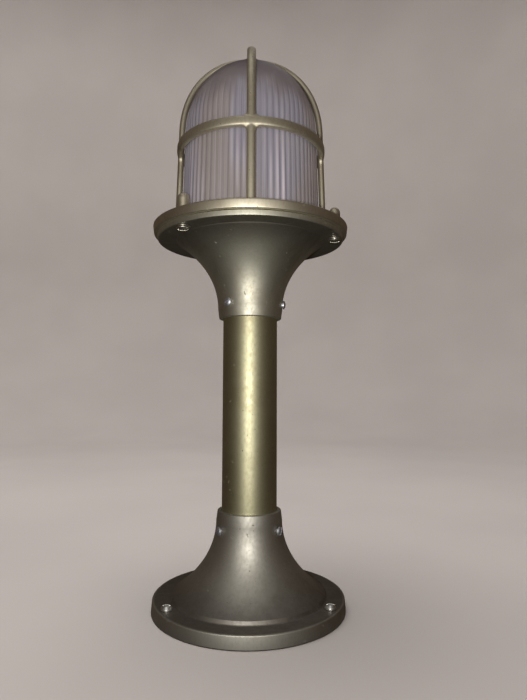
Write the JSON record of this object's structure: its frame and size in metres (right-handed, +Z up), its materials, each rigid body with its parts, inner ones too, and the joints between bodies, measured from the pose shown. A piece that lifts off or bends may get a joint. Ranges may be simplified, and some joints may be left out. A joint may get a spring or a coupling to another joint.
{
  "type": "bollard garden light",
  "caption": "Standing brass garden light: flared base, tube post and flared head carrying a ribbed frosted glass dome under a cast cage guard.",
  "frame": {"origin": "centre of the base's underside, on the ground", "axes": "+Z up along the post; -Y is the front, where one cage bar faces"},
  "size_m": [0.1736, 0.1736, 0.491],
  "materials": {
    "aged_brass": "cast, aged olive-brown, satin",
    "post_brass": "drawn tube, satin, yellow-green",
    "cast_brass": "cast and brushed, satin",
    "bright_steel": "bright",
    "plated_brass": "nickel plated",
    "frosted_glass": "frosted inside, ribbed",
    "rubber": "matt black",
    "porcelain": "glazed ceramic",
    "opal_plastic": "opal",
    "nylon": "moulded",
    "brown_sleeve": "wire insulation",
    "blue_sleeve": "wire insulation",
    "earth_sleeve": "wire insulation"
  },
  "bodies": {
    "post": {"base_casting": "aged_brass", "base_screw_1": "aged_brass", "base_screw_2": "aged_brass", "base_screw_3": "aged_brass", "lower_set_screw_1": "bright_steel", "lower_set_screw_2": "bright_steel", "lower_set_screw_3": "bright_steel", "post_tube": "post_brass", "head_casting": "aged_brass", "upper_set_screw_1": "bright_steel", "upper_set_screw_2": "bright_steel", "upper_set_screw_3": "bright_steel", "lower_glass_gasket": "rubber", "lampholder_bracket": "bright_steel", "bracket_screw_1": "bright_steel", "bracket_screw_2": "bright_steel", "lampholder_body": "porcelain", "lampholder_sleeve": "plated_brass", "lampholder_contact": "plated_brass", "terminal_block": "porcelain", "live_lead": "brown_sleeve", "neutral_lead": "blue_sleeve", "earth_lead": "earth_sleeve", "earth_screw": "plated_brass", "cable_gland_body": "nylon", "cable_gland_lock_nut": "nylon", "cable_gland_seal": "rubber", "cable_gland_cap_nut": "nylon", "guard_washer_1": "plated_brass", "guard_washer_2": "plated_brass", "guard_washer_3": "plated_brass"},
    "bulb": {"bulb_tip": "nylon", "bulb_cap": "plated_brass", "bulb_housing": "opal_plastic", "bulb_globe": "opal_plastic"},
    "glass": {"glass_dome": "frosted_glass", "upper_glass_gasket": "rubber"},
    "guard": {"guard_casting": "cast_brass"},
    "guard_screw_1": {"guard_screw_1": "aged_brass"},
    "guard_screw_2": {"guard_screw_2": "aged_brass"},
    "guard_screw_3": {"guard_screw_3": "aged_brass"}
  },
  "joints": [
    {"name": "bulb_turn", "type": "hinge", "parent": "post", "child": "bulb", "pos_m": [0, 0, 0.345], "axis": [0, 0, 1], "range_deg": [0, 1080]},
    {"name": "glass_lift", "type": "slide", "parent": "post", "child": "glass", "axis": [0, 0, 1], "range_m": [0, 0.135]},
    {"name": "guard_lift", "type": "slide", "parent": "glass", "child": "guard", "axis": [0, 0, 1], "range_m": [0, 0.175]},
    {"name": "guard_screw_1_turn", "type": "hinge", "parent": "post", "child": "guard_screw_1", "pos_m": [-0.05467, -0.05279, 0.3155], "axis": [0, 0, -1], "range_deg": [0, 1080]},
    {"name": "guard_screw_2_turn", "type": "hinge", "parent": "post", "child": "guard_screw_2", "pos_m": [0.07306, -0.02095, 0.3155], "axis": [0, 0, -1], "range_deg": [0, 1080]},
    {"name": "guard_screw_3_turn", "type": "hinge", "parent": "post", "child": "guard_screw_3", "pos_m": [-0.01839, 0.07374, 0.3155], "axis": [0, 0, -1], "range_deg": [0, 1080]}
  ]
}
